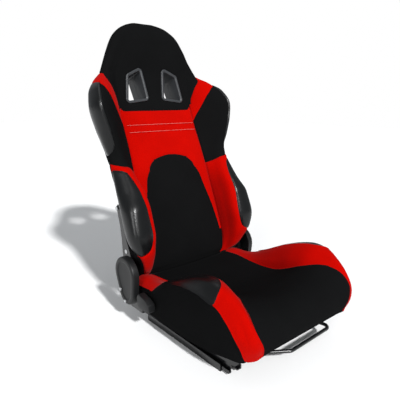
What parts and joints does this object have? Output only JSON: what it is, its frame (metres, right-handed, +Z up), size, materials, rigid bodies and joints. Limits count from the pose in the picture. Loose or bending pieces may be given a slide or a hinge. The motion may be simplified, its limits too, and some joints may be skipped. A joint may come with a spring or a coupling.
{
  "type": "racing seat",
  "caption": "Reclining bucket seat with side bolsters, harness holes and sliding floor rails, for a car or a simulator rig.",
  "frame": {"origin": "centre of the four floor bolts, on the underside of the rails", "axes": "+Z up; -Y the way the sitter faces; +X the sitter's left"},
  "size_m": [0.522, 0.7752, 0.9112],
  "materials": {
    "steel_black": "gloss black powder coat",
    "steel_bright": "zinc plated",
    "cloth_black": "fine knitted cloth",
    "bolster_black": "knitted cloth with grained leatherette panels",
    "suede_red": "short napped microfibre",
    "leather_black": "grained leatherette",
    "plastic_dark": "moulded satin plastic"
  },
  "bodies": {
    "floor_rails": {"lower_rail_left": "steel_black", "lower_rail_right": "steel_black", "rail_end_stops": "steel_bright"},
    "ball_cages": {"ball_cage_left": "steel_bright", "ball_cage_right": "steel_bright", "rail_balls": "steel_bright"},
    "seat_base": {"upper_rail_left": "steel_black", "upper_rail_right": "steel_black", "riser_left": "steel_black", "riser_right": "steel_black", "riser_bolts": "steel_bright", "seat_frame": "steel_black", "seat_cross_tube": "steel_black", "seat_springs": "steel_bright", "seat_pad": "cloth_black", "seat_bolster_left": "suede_red", "seat_bolster_right": "suede_red", "recliner_plate_left": "steel_black", "recliner_plate_right": "steel_black", "recliner_cover_left": "plastic_dark", "recliner_cover_right": "plastic_dark", "pivot_bolts": "steel_bright", "return_springs": "steel_bright", "cover_screws": "steel_bright", "release_pivots": "steel_bright"},
    "rail_release": {"rail_handle": "steel_black", "lock_plate_left": "steel_bright", "lock_plate_right": "steel_bright"},
    "recline_release": {"recline_lever": "steel_black", "lever_grip": "plastic_dark", "cross_shaft": "steel_black", "recline_pawls": "steel_bright"},
    "backrest": {"back_frame": "steel_black", "frame_plate_left": "steel_black", "frame_plate_right": "steel_black", "back_wires": "steel_bright", "recliner_arm_left": "steel_black", "recliner_arm_right": "steel_black", "arm_bolts": "steel_bright", "back_pad": "suede_red", "back_bolster_left": "bolster_black", "back_bolster_right": "bolster_black", "shoulder_pad": "cloth_black", "head_pad": "cloth_black", "rear_cover": "leather_black", "harness_bezel_left": "plastic_dark", "harness_bezel_right": "plastic_dark", "harness_rear_bezel_left": "plastic_dark", "harness_rear_bezel_right": "plastic_dark"}
  },
  "joints": [
    {"name": "cage_slide", "type": "slide", "parent": "floor_rails", "child": "ball_cages", "axis": [0, 1, 0], "range_m": [-0.045, 0.06]},
    {"name": "seat_slide", "type": "slide", "parent": "floor_rails", "child": "seat_base", "axis": [0, 1, 0], "range_m": [-0.09, 0.12]},
    {"name": "rail_release_hinge", "type": "hinge", "parent": "seat_base", "child": "rail_release", "pos_m": [0, -0.06, 0.033], "axis": [-1, 0, 0], "range_deg": [0, 8], "stiffness_Nm_per_rad": 2},
    {"name": "recline_release_hinge", "type": "hinge", "parent": "seat_base", "child": "recline_release", "pos_m": [0, 0.205, 0.096], "axis": [-1, 0, 0], "range_deg": [0, 18], "stiffness_Nm_per_rad": 0.5},
    {"name": "recline", "type": "hinge", "parent": "seat_base", "child": "backrest", "pos_m": [0, 0.211, 0.146], "axis": [-1, 0, 0], "range_deg": [-30, 60]}
  ],
  "couplings": [
    {"joint": "cage_slide", "follows": "seat_slide", "ratio": 0.5}
  ]
}
